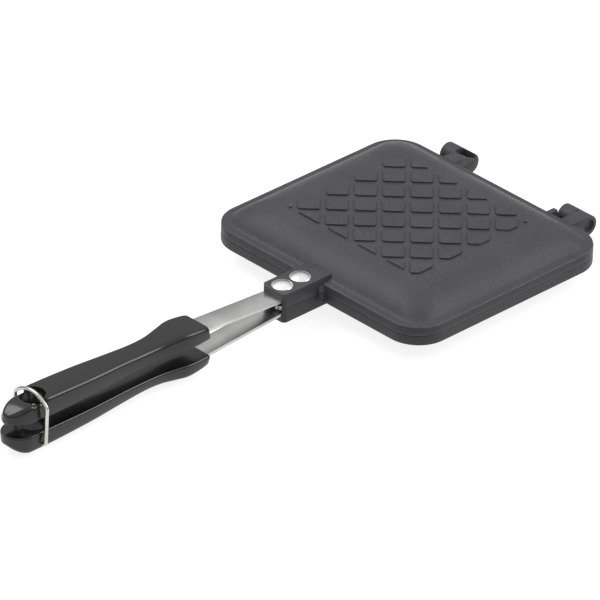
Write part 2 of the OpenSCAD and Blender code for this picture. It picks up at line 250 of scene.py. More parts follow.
class HingeSettings(bpy.types.PropertyGroup):
    """Sizes of the ears, barrels and lug of the hinges"""

    offset: length("Offset", "Distance from the pan's edge to the hinge axis", 0.0113)
    radius: length("Radius", "Radius of the barrels and ears", 0.0056)
    pin: length("Pin", "Diameter of the stub pins", 0.0056)
    clearance: length("Clearance", "Radial clearance of the stub pins", 0.00006)
    gap: length("Gap", "Side gap between a barrel and its ear", 0.0004)
    right_ear: length("Right ear", "Place of the right ear's inner face", 0.0424)
    left_ear: length("Left ear", "Place of the left ear's outer face", 0.041)
    ear_width: length("Ear width", "Width of an ear", 0.0082)
    barrel_width: length("Barrel width", "Width of a barrel", 0.0087)
    ramp_start: length("Ramp start", "Reach of the left ear's ramp from the axis", 0.0046)
    ramp_end: length("Ramp end", "Height of the ramp's end above the axis", 0.0022)
    end_wall: length("End wall", "Wall that closes the left ear", 0.0011)
    eye: length("Eye", "Diameter of the recess in the right ear", 0.0068)
    eye_depth: length("Eye depth", "Depth of that recess", 0.0010)
    lug_width: length("Lug width", "Width of the lug", 0.0031)
    lug_reach: length("Lug reach", "Reach of the lug beyond the pan's edge", 0.0045)
    lug_depth: length("Lug depth", "Depth of the lug below the parting plane", 0.0035)
    finish: colour("Pin colour", "Colour of the stub pins", (0.05, 0.05, 0.052))


class StrapSettings(bpy.types.PropertyGroup):
    """Sizes and finish of the flat steel straps"""

    width: length("Width", "Width of a strap", 0.0124)
    thickness: length("Thickness", "Thickness of a strap", 0.0018)
    clearance: length("Clearance", "Clearance of the strap in its channel", 0.00015)
    bend_start: length("Bend", "Distance from the socket's mouth to the bend", 0.0015)
    splay: angle("Splay", "Angle by which the strap leaves the parting plane", 3.8)
    tang_length: length("Tang", "Length of the tang inside the grip", 0.034)
    tang_slope: angle("Tang slope", "Slope of the tang inside the grip", 1.5)
    edge: length("Edge", "Rounding of the strap's edges", 0.00022)
    finish: colour("Colour", "Colour of the steel", (0.60, 0.60, 0.59))


class RivetSettings(bpy.types.PropertyGroup):
    """Sizes and finish of the domed rivets"""

    head: length("Head", "Diameter of a rivet's head", 0.0108)
    rise: length("Rise", "Height of a rivet's head", 0.0019)
    brim: length("Brim", "Height of the thin brim round the head", 0.0004)
    shank: length("Shank", "Diameter of a rivet's shank", 0.005)
    tail: length("Tail", "Diameter of the set end", 0.0074)
    tail_rise: length("Tail rise", "Height of the set end", 0.0012)
    pitch: length("Pitch", "Distance from one rivet to the other", 0.0122)
    start: length("Start", "Distance from the pan's edge to the nearer rivet", 0.0073)
    count: IntProperty(name="Count", description="Rivets on each strap", default=2, min=1)
    finish: colour("Colour", "Colour of the rivets", (0.90, 0.90, 0.91))


class GripSettings(bpy.types.PropertyGroup):
    """Sizes and finish of the moulded grips"""

    start: length("Start", "Distance from the socket to the grips", 0.0513)
    length: length("Length", "Length of a grip's body", 0.107)
    width: length("Width", "Width of a grip at its swell", 0.021)
    inner_front: length("Inner front", "Height of the inner face at the front", 0.0045)
    inner_rear: length("Inner rear", "Height of the inner face at the bail", 0.0033)
    draft: length("Draft", "How much narrower the outer face is on each side", 0.0008)
    outer_round: length("Outer rounding", "Rounding of the outer edges", 0.0024)
    inner_round: length("Inner rounding", "Rounding of the inner edges", 0.0013)
    end_round: length("End rounding", "Rounding of a body's ends", 0.0008)
    hang_hole: length("Hanging hole", "Diameter of the hanging hole", 0.013)
    hang_offset: length("Hole offset", "Distance from the body's end to the hole", 0.0017)
    groove: length("Groove", "Length of the groove for the bail", 0.0062)
    neck_width: length("Neck width", "Width of the neck in the groove", 0.0172)
    neck_drop: length("Neck drop", "Depth of the neck below the body's outer face", 0.0024)
    nose_length: length("Nose length", "Length of the upper nose", 0.0134)
    nose_width: length("Nose width", "Width of the upper nose", 0.0184)
    nose_crown: length("Nose crown", "Width of the upper nose at its top", 0.0148)
    nose_drop: length("Nose drop", "Depth of the nose below the body's outer face", 0.0019)
    tip_height: length("Tip height", "Height of both noses' tips", 0.004)
    lower_end: length("Lower end", "Length of the lower grip's straight end", 0.009)
    finish: colour("Colour", "Colour of the moulded grips", (0.0035, 0.0035, 0.004))
    roughness: share("Roughness", "Roughness of the grips", 0.20)


class BailSettings(bpy.types.PropertyGroup):
    """Sizes and finish of the wire bail"""

    wire: length("Wire", "Diameter of the wire", 0.002)
    half: length("Half width", "Half distance between the legs", 0.0113)
    height: length("Height", "Height of the top above the pivots", 0.0252)
    arch_rise: length("Arch rise", "Rise of the arch above its corners", 0.0051)
    corner: length("Corner", "Radius of the upper corners", 0.0025)
    bend: length("Bend", "Radius of the bends at the pivots", 0.0016)
    end: length("End", "Distance of the wire's ends from the middle", 0.0074)
    pivot_offset: length("Pivot offset", "Distance from the body's end", 0.0032)
    pivot_depth: length("Pivot depth", "Depth below the parting plane", 0.010)
    clearance: length("Clearance", "Clearance of the wire's ends in the lower grip", 0.00008)
    recess: length("Recess", "Radius of the recess round a pivot", 0.0024)
    recess_floor: length("Recess floor", "Distance of its floor from the middle", 0.0088)
    lean: angle("Lean", "Lean of the closed bail toward the pans", 2.0)
    finish: colour("Colour", "Colour of the wire", (0.60, 0.575, 0.52))


class StageSettings(bpy.types.PropertyGroup):
    """Light and floor of the stage"""

    sky: share("Sky", "Level of the light from above", 1.0)
    horizon: share("Horizon", "Level of the light from the side", 0.12)
    floor: share("Floor", "Brightness of the floor's own colour", 0.30)
    lift: share("Lift", "Level added to the floor where it is seen", 0.84)
    key: power("Key", "Power of the key lamp", 9.0)
    fill: power("Fill", "Power of the fill lamp", 0.6)
    rim: power("Rim", "Power of the rim lamp", 7.0)


def places(scene):
    """Places and heights that follow from the settings, in one half's own frame."""
    pan, grip, strap = scene.pan_settings, scene.grip_settings, scene.strap_settings
    socket, bail = scene.socket_settings, scene.bail_settings
    at = SimpleNamespace()
    at.parting = pan.crown_height + scene.lattice_settings.height
    at.edge = -pan.length / 2
    at.mouth = at.edge - socket.reach
    at.bend = at.mouth - strap.bend_start
    at.grip_front = at.mouth - grip.start
    at.body_end = at.grip_front - grip.length
    at.nose = at.body_end - grip.groove
    at.nose_end = at.nose - grip.nose_length
    at.hang = at.body_end - grip.hang_offset
    at.pivot = at.body_end - bail.pivot_offset
    at.hinge = pan.length / 2 + scene.hinge_settings.offset
    at.strap_outer = socket.height - socket.roof
    at.tang_outer = at.strap_outer + (at.bend - at.grip_front) * math.tan(strap.splay)
    at.tang_middle = at.tang_outer - strap.thickness / 2
    at.first_rivet = at.edge - scene.rivet_settings.start
    return at


# ---- Mesh tools ----


def mix(a, b, t):
    return a + (b - a) * t


def add_loft(bm, rings):
    """Closed skin over rings that have the same number of points."""
    loops = [[bm.verts.new(point) for point in ring] for ring in rings]
    count = len(rings[0])
    for lower, upper in zip(loops, loops[1:]):
        for i in range(count):
            j = (i + 1) % count
            bm.faces.new((lower[i], lower[j], upper[j], upper[i]))
    bm.faces.new(loops[0])
    bm.faces.new(loops[-1])


def new_loft(rings):
    bm = bmesh.new()
    add_loft(bm, rings)
    bmesh.ops.recalc_face_normals(bm, faces=bm.faces)
    return bm


def new_prism(outline, axis, low, high):
    """Outline of point pairs carried along an axis. For X the pairs are Y and Z."""
    order = {
        "X": lambda a, b, c: (c, a, b),
        "Y": lambda a, b, c: (a, c, b),
        "Z": lambda a, b, c: (a, b, c),
    }[axis]
    return new_loft([[order(a, b, at) for a, b in outline] for at in (low, high)])


def circle(x, y, radius, start=0.0, end=360.0, steps=TURN_STEPS):
    """Points of an arc, from one angle to the other in degrees. A full turn isn't closed."""
    last = steps if end - start >= 360 else steps - 1
    turns = [math.radians(start + (end - start) * k / last) for k in range(steps)]
    return [(x + radius * math.cos(a), y + radius * math.sin(a)) for a in turns]


def temporary(bm, name):
    mesh = bpy.data.meshes.new(name)
    bm.to_mesh(mesh)
    bm.free()
    made = bpy.data.objects.new(name, mesh)
    bpy.context.scene.collection.objects.link(made)
    return made


def discard(made):
    mesh = made.data
    bpy.data.objects.remove(made)
    bpy.data.meshes.remove(mesh)


def evaluated(made):
    """Plain mesh of an object with its modifiers applied."""
    graph = bpy.context.evaluated_depsgraph_get()
    return bpy.data.meshes.new_from_object(made.evaluated_get(graph))


def taken(mesh):
    """BMesh of a mesh, which is then removed."""
    bm = bmesh.new()
    bm.from_mesh(mesh)
    bpy.data.meshes.remove(mesh)
    return bm


def carved(solid, cutters):
    """The solid with each cutter taken out of it."""
    body = temporary(solid, "carved")
    tools = [temporary(cutter, "cutter") for cutter in cutters]
    for tool in tools:
        cut = body.modifiers.new("cut", "BOOLEAN")
        cut.operation = "DIFFERENCE"
        cut.solver = "EXACT"
        cut.object = tool
    bm = taken(evaluated(body))
    for made in [body] + tools:
        discard(made)
    bmesh.ops.remove_doubles(bm, verts=bm.verts, dist=MERGE)
    return bm


def soften(bm, width, segments=2):
    """Rounds the sharp convex edges."""
    sharp = [
        edge
        for edge in bm.edges
        if len(edge.link_faces) == 2 and edge.calc_face_angle_signed(0.0) > EDGE_ANGLE
    ]
    bmesh.ops.bevel(
        bm,
        geom=sharp,
        offset=width,
        offset_type="OFFSET",
        segments=segments,
        profile=0.5,
        affect="EDGES",
        clamp_overlap=True,
    )
    return bm


def gather(parts):
    """One mesh of several closed solids."""
    whole = bmesh.new()
    for part in parts:
        mesh = bpy.data.meshes.new("part")
        part.to_mesh(mesh)
        part.free()
        whole.from_mesh(mesh)
        bpy.data.meshes.remove(mesh)
    return whole


def mark_wear(mesh):
    """Writes 1 on the points of sharp convex edges, for the materials' worn edges."""
    bm = bmesh.new()
    bm.from_mesh(mesh)
    worn = [0.0] * len(bm.verts)
    for edge in bm.edges:
        if len(edge.link_faces) == 2 and edge.calc_face_angle_signed(0.0) > EDGE_ANGLE:
            for vert in edge.verts:
                worn[vert.index] = 1.0
    bm.free()
    mesh.attributes.new("wear", "FLOAT", "POINT").data.foreach_set("value", worn)


def mark_painted_shade(mesh, scene):
    """Writes 1 on the steep sides of the lattice's tiles, where the cast metal paints shade into
    the grooves.
    """
    pan, lattice, at = scene.pan_settings, scene.lattice_settings, places(scene)
    low = pan.crown_height - pan.wall / 2 - MERGE
    high = pan.crown_height + lattice.height - lattice.edge / 4
    marks = []
    for vert in mesh.vertices:
        x, y, z = vert.co
        inside = abs(x) < lattice.width / 2 + MERGE and abs(y) < lattice.length / 2 + MERGE
        marks.append(1.0 if inside and low < abs(z - at.parting) < high else 0.0)
    # Painted shade mask: 1 where the tiles' sides are darkened
    mesh.attributes.new("crevice", "FLOAT", "POINT").data.foreach_set("value", marks)


def half_mesh(bm, name, upper):
    """Mesh of a half's solids, moved from that half's own frame to the model's."""
    parting = places(bpy.context.scene).parting
    bmesh.ops.remove_doubles(bm, verts=bm.verts, dist=MERGE)
    side = 1.0 if upper else -1.0
    bm.transform(Matrix.Translation((0, 0, parting)) @ Matrix.Diagonal((1, 1, side, 1)))
    bmesh.ops.recalc_face_normals(bm, faces=bm.faces)
    mesh = bpy.data.meshes.new(name)
    bm.to_mesh(mesh)
    bm.free()
    return mesh


def finish_piece(name, mesh, material, body, nodes):
    """Shades a mesh, makes it a piece on its body's empty and hides the CAD parts that it stands
    for.
    """
    mesh.materials.clear()
    mesh.materials.append(material)
    mesh.polygons.foreach_set("use_smooth", [True] * len(mesh.polygons))
    mesh.set_sharp_from_angle(angle=SHARP_ANGLE)
    mark_wear(mesh)
    mesh.update()
    piece = bpy.data.objects.new(name, mesh)
    bpy.context.scene.collection.objects.link(piece)
    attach(piece, body)
    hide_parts(*nodes)
    return piece


# ---- Node tools ----


class Graph:
    """Short ways to add the nodes of one tree and to link them."""

    def __init__(self, tree):
        self.tree = tree

    def feed(self, sockets, values):
        """Links outputs to inputs, or sets the inputs' own values. A list links all it holds."""
        for label, value in values.items():
            for one in value if isinstance(value, list) else [value]:
                if isinstance(one, bpy.types.NodeSocket):
                    self.tree.links.new(one, sockets[label])
                else:
                    sockets[label].default_value = one

    def add(self, kind, inputs=None, **settings):
        """New node with its settings and its inputs, by name or number. Gives its outputs."""
        node = self.tree.nodes.new(kind)
        for name, value in settings.items():
            setattr(node, name, value)
        self.feed(node.inputs, inputs or {})
        return node.outputs

    def math(self, operation, first, second):
        return self.add("ShaderNodeMath", {0: first, 1: second}, operation=operation)["Value"]

    def spread(self, value, band, levels=(0.0, 1.0)):
        """Maps a value from a band of values to another, clamped."""
        labels = ("From Min", "From Max", "To Min", "To Max")
        inputs = {"Value": value, **dict(zip(labels, (*band, *levels)))}
        return self.add("ShaderNodeMapRange", inputs, clamp=True)["Result"]

    def blend(self, factor, first, second):
        """Colour between two colours."""
        return self.add("ShaderNodeMix", {0: factor, 6: first, 7: second}, data_type="RGBA")[2]

    def noise(self, vector, scale, detail, roughness=0.5):
        inputs = {"Vector": vector, "Scale": scale, "Detail": detail, "Roughness": roughness}
        return self.add("ShaderNodeTexNoise", inputs)["Fac"]

    def attribute(self, name):
        return self.add("ShaderNodeAttribute", attribute_name=name)["Fac"]

    def bump(self, height, strength, distance):
        inputs = {"Height": height, "Strength": strength, "Distance": distance}
        return self.add("ShaderNodeBump", inputs)["Normal"]


def once(collection, name):
    """Lets a maker run the first time only. After that, what it made is found by its name."""

    def wrap(make):
        def find(*values):
            return getattr(bpy.data, collection).get(name) or make(name, *values)

        return find

    return wrap


def new_group(kind, name, inputs, outputs):
    """Node group with named inputs and outputs. Gives its graph and what it is given."""
    tree = bpy.data.node_groups.new(name, kind)
    for side, sockets in (("INPUT", inputs), ("OUTPUT", outputs)):
        for label, value, *default in sockets:
            socket = tree.interface.new_socket(
                name=label, in_out=side, socket_type="NodeSocket" + value
            )
            if default:
                socket.default_value = default[0]
    graph = Graph(tree)
    return graph, graph.add("NodeGroupInput")


def new_tree(name, inputs):
    """Geometry Nodes tree that is given a geometry, named values and a material."""
    geometry = ("Geometry", "Geometry")
    given = [geometry, *inputs, ("Material", "Material")]
    return new_group("GeometryNodeTree", name, given, [geometry])


def end_tree(graph, given, geometry):
    """Ends a tree in Realize Instances and Set Material."""
    real = graph.add("GeometryNodeRealizeInstances", {"Geometry": geometry})
    inputs = {"Geometry": real["Geometry"], "Material": given["Material"]}
    painted = graph.add("GeometryNodeSetMaterial", inputs)
    graph.add("NodeGroupOutput", {"Geometry": painted["Geometry"]})
    return graph.tree


def grown(bm, tree, values):
    """What a tree makes from a mesh and its named values."""
    made = temporary(bm, tree.name)
    modifier = made.modifiers.new(tree.name, "NODES")
    modifier.node_group = tree
    for item in tree.interface.items_tree:
        if item.in_out == "INPUT" and item.name in values:
            modifier[item.identifier] = values[item.name]
    mesh = evaluated(made)
    made.modifiers.remove(modifier)
    discard(made)
    return taken(mesh)


@once("node_groups", "Diamond lattice")
def lattice_tree(name):
    """Tiles on a grid along the diagonals of X and Y, kept near a box and trimmed by it."""
    graph, given = new_tree(
        name,
        [
            ("Tile", "Object"),
            ("Count", "Int"),
            ("Width", "Float"),
            ("Breadth", "Float"),
            ("Turn", "Rotation"),
            ("Keep", "Vector"),
            ("Trim", "Vector"),
        ],
    )
    sides = {"Size X": given["Width"], "Size Y": given["Breadth"]}
    counts = {"Vertices X": given["Count"], "Vertices Y": given["Count"]}
    grid = graph.add("GeometryNodeMeshGrid", {**sides, **counts})["Mesh"]
    turned = graph.add("GeometryNodeTransform", {"Geometry": grid, "Rotation": given["Turn"]})
    point = graph.add("GeometryNodeInputPosition")["Position"]
    where = graph.add("ShaderNodeSeparateXYZ", {"Vector": point})
    keep = graph.add("ShaderNodeSeparateXYZ", {"Vector": given["Keep"]})
    near = [
        graph.math("LESS_THAN", graph.math("ABSOLUTE", where[axis], 0.0), keep[axis])
        for axis in ("X", "Y")
    ]
    tile = graph.add("GeometryNodeObjectInfo", {"Object": given["Tile"]})
    tiles = graph.add(
        "GeometryNodeInstanceOnPoints",
        {
            "Points": turned["Geometry"],
            "Selection": graph.math("MULTIPLY", *near),
            "Instance": tile["Geometry"],
        },
    )
    whole = graph.add("GeometryNodeRealizeInstances", {"Geometry": tiles["Instances"]})
    box = graph.add("GeometryNodeMeshCube", {"Size": given["Trim"]})
    trimmed = graph.add(
        "GeometryNodeMeshBoolean",
        {"Mesh 2": [whole["Geometry"], box["Mesh"]]},
        operation="INTERSECT",
        solver="EXACT",
    )
    return end_tree(graph, given, trimmed["Mesh"])


@once("node_groups", "Rivet row")
def rivet_tree(name):
    """A row of rivets at an even pitch."""
    graph, given = new_tree(
        name, [("Rivet", "Object"), ("Count", "Int"), ("Start", "Vector"), ("Pitch", "Vector")]
    )
    row = graph.add(
        "GeometryNodeMeshLine",
        {"Count": given["Count"], "Start Location": given["Start"], "Offset": given["Pitch"]},
        mode="OFFSET",
    )
    rivet = graph.add("GeometryNodeObjectInfo", {"Object": given["Rivet"]})
    rivets = graph.add(
        "GeometryNodeInstanceOnPoints", {"Points": row["Mesh"], "Instance": rivet["Geometry"]}
    )
    return end_tree(graph, given, rivets["Instances"])


@once("node_groups", "Bent wire")
def wire_tree(name):
    """Round wire along a path of edges, with closed ends."""
    graph, given = new_tree(name, [("Radius", "Float"), ("Sides", "Int")])
    path = graph.add("GeometryNodeMeshToCurve", {"Mesh": given["Geometry"]})
    section = graph.add(
        "GeometryNodeCurvePrimitiveCircle",
        {"Radius": given["Radius"], "Resolution": given["Sides"]},
    )
    wire = graph.add(
        "GeometryNodeCurveToMesh",
        {"Curve": path["Curve"], "Profile Curve": section["Curve"], "Fill Caps": True},
    )
    return end_tree(graph, given, wire["Mesh"])


# ---- Shapes ----


def pan_ring(pan, inset, radius, height):
    """Plan outline of the pan, set in from its edge, at one height."""
    x = pan.width / 2 - inset - radius
    y = pan.length / 2 - inset - radius
    ring = []
    for quarter, (sx, sy) in enumerate(QUARTERS):
        for step in range(CORNER_STEPS + 1):
            a = math.radians(90 * (quarter + step / CORNER_STEPS))
            ring.append(
                (sx * x + radius * math.cos(a), sy * y + radius * math.sin(a), height)
            )
    return ring


def crown_shell(pan):
    """Rim, domed crown and hollow of a pan, as one closed shell from inside to outside."""
    drop = pan.crown_height - pan.rim_height
    flank = math.acos(1 - drop / (pan.shoulder_radius + pan.foot_radius))
    flat_inset = pan.ledge + (pan.shoulder_radius + pan.foot_radius) * math.sin(flank)
    centre_z = pan.crown_height - pan.shoulder_radius
    hollow = pan.shoulder_radius - pan.wall
    mouth = flat_inset - hollow * math.sin(flank)

    def shoulder(radius, a):
        return pan_ring(
            pan,
            flat_inset - radius * math.sin(a),
            pan.crown_corner,
            centre_z + radius * math.cos(a),
        )

    rings = [shoulder(hollow, flank * k / SHOULDER_STEPS) for k in range(SHOULDER_STEPS + 1)]
    rings.append(pan_ring(pan, mouth, pan.crown_corner, pan.parting_gap))
    rings.append(pan_ring(pan, MATING_EDGE, pan.rim_radius - MATING_EDGE, pan.parting_gap))
    rings.append(pan_ring(pan, 0.0, pan.rim_radius, pan.parting_gap + MATING_EDGE))
    for k in range(EDGE_STEPS + 1):
        a = math.radians(90 * k / EDGE_STEPS)
        inset = pan.rim_edge * (1 - math.cos(a))
        height = pan.rim_height - pan.rim_edge * (1 - math.sin(a))
        rings.append(pan_ring(pan, inset, pan.rim_radius - inset, height))
    for k in range(FOOT_STEPS + 1):
        a = flank * k / FOOT_STEPS
        inset = pan.ledge + pan.foot_radius * math.sin(a)
        height = pan.rim_height + pan.foot_radius * (1 - math.cos(a))
        rings.append(pan_ring(pan, inset, pan.crown_corner, height))
    for k in range(1, SHOULDER_STEPS + 1):
        rings.append(shoulder(pan.shoulder_radius, flank * (1 - k / SHOULDER_STEPS)))
    return new_loft(rings)


def tile_solid(width, breadth, corner, low, high):
    """A tile with rounded corners, its width along the diagonal of X and Y."""
    half_x, half_y = width / 2 - corner, breadth / 2 - corner
    outline = []
    for quarter, (sx, sy) in enumerate(QUARTERS):
        for x, y in circle(
            sx * half_x, sy * half_y, corner, 90 * quarter, 90 * quarter + 90, ROUND_STEPS
        ):
            outline.append(((x - y) / math.sqrt(2), (x + y) / math.sqrt(2)))
    return new_prism(outline, "Z", low, high)


def lattice_solid(scene, material, count):
    """The trimmed lattice of one pan. An even count puts a crossing at the middle."""
    pan, lattice = scene.pan_settings, scene.lattice_settings
    low = pan.crown_height - pan.wall / 2
    high = pan.crown_height + lattice.height
    breadth = lattice.tile * lattice.stretch
    tile = temporary(tile_solid(lattice.tile, breadth, lattice.corner, low, high), "tile")
    span = (count - 1) * lattice.pitch
    bm = grown(
        bmesh.new(),
        lattice_tree(),
        {
            "Tile": tile,
            "Count": count,
            "Width": span,
            "Breadth": span * lattice.stretch,
            "Turn": (0.0, 0.0, math.radians(45)),
            "Keep": (
                lattice.width / 2 + lattice.margin,
                lattice.length / 2 + lattice.margin,
                0.0,
            ),
            "Trim": (lattice.width, lattice.length, 2 * pan.crown_height + OVER * 2),
            "Material": material,
        },
    )
    discard(tile)
    bmesh.ops.remove_doubles(bm, verts=bm.verts, dist=MERGE)
    bmesh.ops.recalc_face_normals(bm, faces=bm.faces)
    return soften(bm, lattice.edge)


def corner_marks(scene):
    """Two small raised marks at opposite corners of the upper lattice."""
    pan, lattice = scene.pan_settings, scene.lattice_settings
    parts = []
    for side in (-1, 1):
        mark = tile_solid(
            lattice.mark / math.sqrt(2),
            lattice.mark / math.sqrt(2),
            lattice.mark / 8,
            pan.crown_height - pan.wall / 2,
            pan.crown_height + lattice.height,
        )
        shift = (
            side * (lattice.width - lattice.mark) / 2,
            side * (lattice.length - lattice.mark) / 2,
            0.0,
        )
        bmesh.ops.translate(mark, verts=mark.verts, vec=shift)
        parts.append(mark)
    return parts


def socket_solid(scene):
    """Socket with its channel for the strap and fillets into the rim."""
    pan, socket, strap = scene.pan_settings, scene.socket_settings, scene.strap_settings
    at = places(scene)
    half = socket.width / 2
    root = at.edge + socket.root
    corner = at.mouth + socket.chamfer
    fillet = socket.fillet
    side = [(half, corner)]
    side += circle(half + fillet, at.edge - fillet, fillet, 180, 90, ROUND_STEPS)
    side += [(half + fillet, at.edge + OVER), (half, at.edge + 2 * OVER), (half, root)]
    right = [(half - socket.chamfer, at.mouth)] + side
    outline = right + [(-x, y) for x, y in reversed(right)]
    low = pan.rim_height - pan.rim_edge
    block = new_prism(outline, "Z", pan.parting_gap, low)
    plain = [
        (half - socket.chamfer, at.mouth),
        (half, corner),
        (half, root),
        (-half, root),
        (-half, corner),
        (-half + socket.chamfer, at.mouth),
    ]
    cap = new_prism(plain, "Z", pan.parting_gap, socket.height)
    channel_half = strap.width / 2 + strap.clearance
    channel_end = at.edge - socket.channel_start
    parts = []
    for solid in (block, cap):
        channel = new_prism(
            [
                (-channel_half, at.mouth - OVER),
                (channel_half, at.mouth - OVER),
                (channel_half, channel_end),
                (-channel_half, channel_end),
            ],
            "Z",
            -OVER,
            at.strap_outer,
        )
        parts.append(carved(solid, [channel]))
    soften(parts[1], pan.edge_round)
    bmesh.ops.scale(parts[0], verts=parts[0].verts, vec=(BLOCK_SHARE, 1.0, 1.0))
    return parts


def hinge_arm(scene, inner, width, arm_inner):
    """A round end on the hinge axis, and an arm back into the rim."""
    pan, hinge = scene.pan_settings, scene.hinge_settings
    at = places(scene)
    knuckle = new_prism(
        circle(at.hinge, 0.0, hinge.radius), "X", inner, inner + width
    )
    low, root = 3 * pan.parting_gap, pan.length / 2 - OVER
    arm = new_prism(
        [
            (root, low),
            (at.hinge, low),
            (at.hinge, hinge.radius - TINY),
            (root, hinge.radius - TINY),
        ],
        "X",
        arm_inner,
        inner + width,
    )
    return [knuckle, arm]


def ear_solid(scene, inner):
    """Outline of an ear with its arm, as one solid."""
    pan, hinge = scene.pan_settings, scene.hinge_settings
    at = places(scene)
    low, root = 3 * pan.parting_gap, pan.length / 2 - OVER
    start = 180 - math.degrees(math.asin(low / hinge.radius))
    outline = [(root, low)] + circle(at.hinge, 0.0, hinge.radius, start, 450)[:-1]
    outline += [(at.hinge, hinge.radius), (root, hinge.radius)]
    return new_prism(outline, "X", inner, inner + hinge.ear_width)


def right_ear(scene):
    """The closed ear, recessed round the pin's end."""
    hinge = scene.hinge_settings
    at = places(scene)
    outer = hinge.right_ear + hinge.ear_width
    bore = circle(at.hinge, 0.0, hinge.pin / 2 + hinge.clearance)
    eye = circle(at.hinge, 0.0, hinge.eye / 2)
    cutters = [
        new_prism(bore, "X", hinge.right_ear - OVER, outer - hinge.eye_depth / 2),
        new_prism(eye, "X", outer - hinge.eye_depth, outer + OVER),
    ]
    return carved(ear_solid(scene, hinge.right_ear), cutters)


def left_ear(scene):
    """The ear that is open at the top, with a ramp into it and an end wall."""
    hinge = scene.hinge_settings
    at = places(scene)
    outer = -hinge.left_ear
    slot = hinge.pin / 2 + hinge.clearance
    depth = outer + hinge.ear_width - hinge.end_wall
    top = hinge.radius + OVER
    groove = [(at.hinge + slot, top), (at.hinge - slot, top)]
    groove += circle(at.hinge, 0.0, slot, 180, 360, TURN_STEPS // 2)
    ramp = [
        (at.hinge - hinge.ramp_start, hinge.radius),
        (at.hinge + slot, hinge.ramp_end),
        (at.hinge + slot, top),
        (at.hinge - hinge.ramp_start, top),
    ]
    cutters = [
        new_prism(groove, "X", outer - OVER, depth),
        new_prism(ramp, "X", outer - OVER, outer + hinge.ear_width + OVER),
    ]
    return carved(ear_solid(scene, outer), cutters)


def lug_solid(scene):
    """The lug that keeps the pans from sliding apart."""
    pan, hinge = scene.pan_settings, scene.hinge_settings
    at = places(scene)
    inner = hinge.right_ear - hinge.gap - hinge.barrel_width - OVER
    low, root = 3 * pan.parting_gap, pan.length / 2 - OVER
    clear = math.sqrt((hinge.offset - 2 * pan.parting_gap) ** 2 - hinge.lug_depth**2)
    reach = pan.length / 2 + hinge.lug_reach
    outline = [
        (root, low),
        (at.hinge - clear, low),
        (at.hinge - clear, -hinge.lug_depth),
        (reach, -hinge.lug_depth),
        (reach, hinge.radius),
        (root, hinge.radius),
    ]
    return new_prism(outline, "X", inner, inner + hinge.lug_width)


def barrel_solids(scene):
    """The two barrels of the lower pan with their arms."""
    hinge = scene.hinge_settings
    right = hinge.right_ear - hinge.gap - hinge.barrel_width
    left = -hinge.left_ear - hinge.gap - hinge.barrel_width
    arm = right - OVER + hinge.lug_width + hinge.gap
    return hinge_arm(scene, right, hinge.barrel_width, arm) + hinge_arm(
        scene, left, hinge.barrel_width, left
    )


def strap_solid(scene):
    """Flat in the socket, bent apart, and bent back inside the grip."""
    strap = scene.strap_settings
    at = places(scene)
    end = at.grip_front - strap.tang_length
    end_z = at.tang_outer + strap.tang_length * math.tan(strap.tang_slope)
    start = at.edge - scene.socket_settings.channel_start - strap.clearance
    outer = [
        (start, at.strap_outer),
        (at.bend, at.strap_outer),
        (at.grip_front, at.tang_outer),
        (end, end_z),
    ]
    outline = outer + [(y, z - strap.thickness) for y, z in reversed(outer)]
    half = strap.width / 2
    return soften(new_prism(outline, "X", -half, half), strap.edge)


def rivet_solid(scene):
    """A rivet turned round Z, at the height that it has on its strap."""
    rivet, socket, strap = (
        scene.rivet_settings,
        scene.socket_settings,
        scene.strap_settings,
    )
    inner = places(scene).strap_outer - strap.thickness
    cap = rivet.rise - rivet.brim
    base = rivet.head / 2 - rivet.brim
    ball = (base**2 + cap**2) / (2 * cap)
    top = socket.height + rivet.rise
    spread = math.asin(base / ball)
    # The profile ends just short of the axis, where the loft closes it with two small faces
    profile = [(TINY, inner - rivet.tail_rise), (rivet.tail / 2, inner - rivet.tail_rise)]
    profile += [(rivet.tail / 2, inner), (rivet.shank / 2, inner)]
    profile += [(rivet.shank / 2, socket.height), (rivet.head / 2, socket.height)]
    bevel = rivet.brim * BRIM_BEVEL
    profile += [(rivet.head / 2, socket.height + rivet.brim - bevel)]
    profile += [(rivet.head / 2 - bevel, socket.height + rivet.brim)]
    for k in range(DOME_STEPS + 1):
        a = spread * (1 - k / DOME_STEPS)
        profile.append((max(ball * math.sin(a), TINY), top - ball * (1 - math.cos(a))))
    rings = [[(x, y, z) for x, y in circle(0.0, 0.0, r)] for r, z in profile]
    return new_loft(rings)


def grip_ring(grip, y, inner_half, outer_half, inner, outer):
    """Cross-section of a grip at one place."""
    limit = ROUND_LIMIT * min(outer_half, outer - inner)
    low, high = min(grip.inner_round, limit), min(grip.outer_round, limit)
    side = circle(inner_half - low, inner + low, low, -90, 0, ROUND_STEPS)
    side += circle(outer_half - high, outer - high, high, 0, 90, ROUND_STEPS)
    return [(x, y, z) for x, z in side] + [(-x, y, z) for x, z in reversed(side)]


def through(rows, t):
    """Smooth curve through the rows of a table, at a place counted in rows."""
    last = len(rows) - 1
    i = min(int(t), last - 1)
    u = t - i
    a, b = rows[max(i - 1, 0)], rows[i]
    c, d = rows[i + 1], rows[min(i + 2, last)]
    return [
        (
            2 * q
            + (r - p) * u
            + (2 * p - 5 * q + 4 * r - s) * u**2
            + (3 * q - p - 3 * r + s) * u**3
        )
        / 2
        for p, q, r, s in zip(a, b, c, d)
    ]


def inner_face(scene, y):
    """Height of a grip's inner face at one place."""
    grip, at = scene.grip_settings, places(scene)
    t = min(1.0, (at.grip_front - y) / grip.length)
    return mix(grip.inner_front, grip.inner_rear, t)


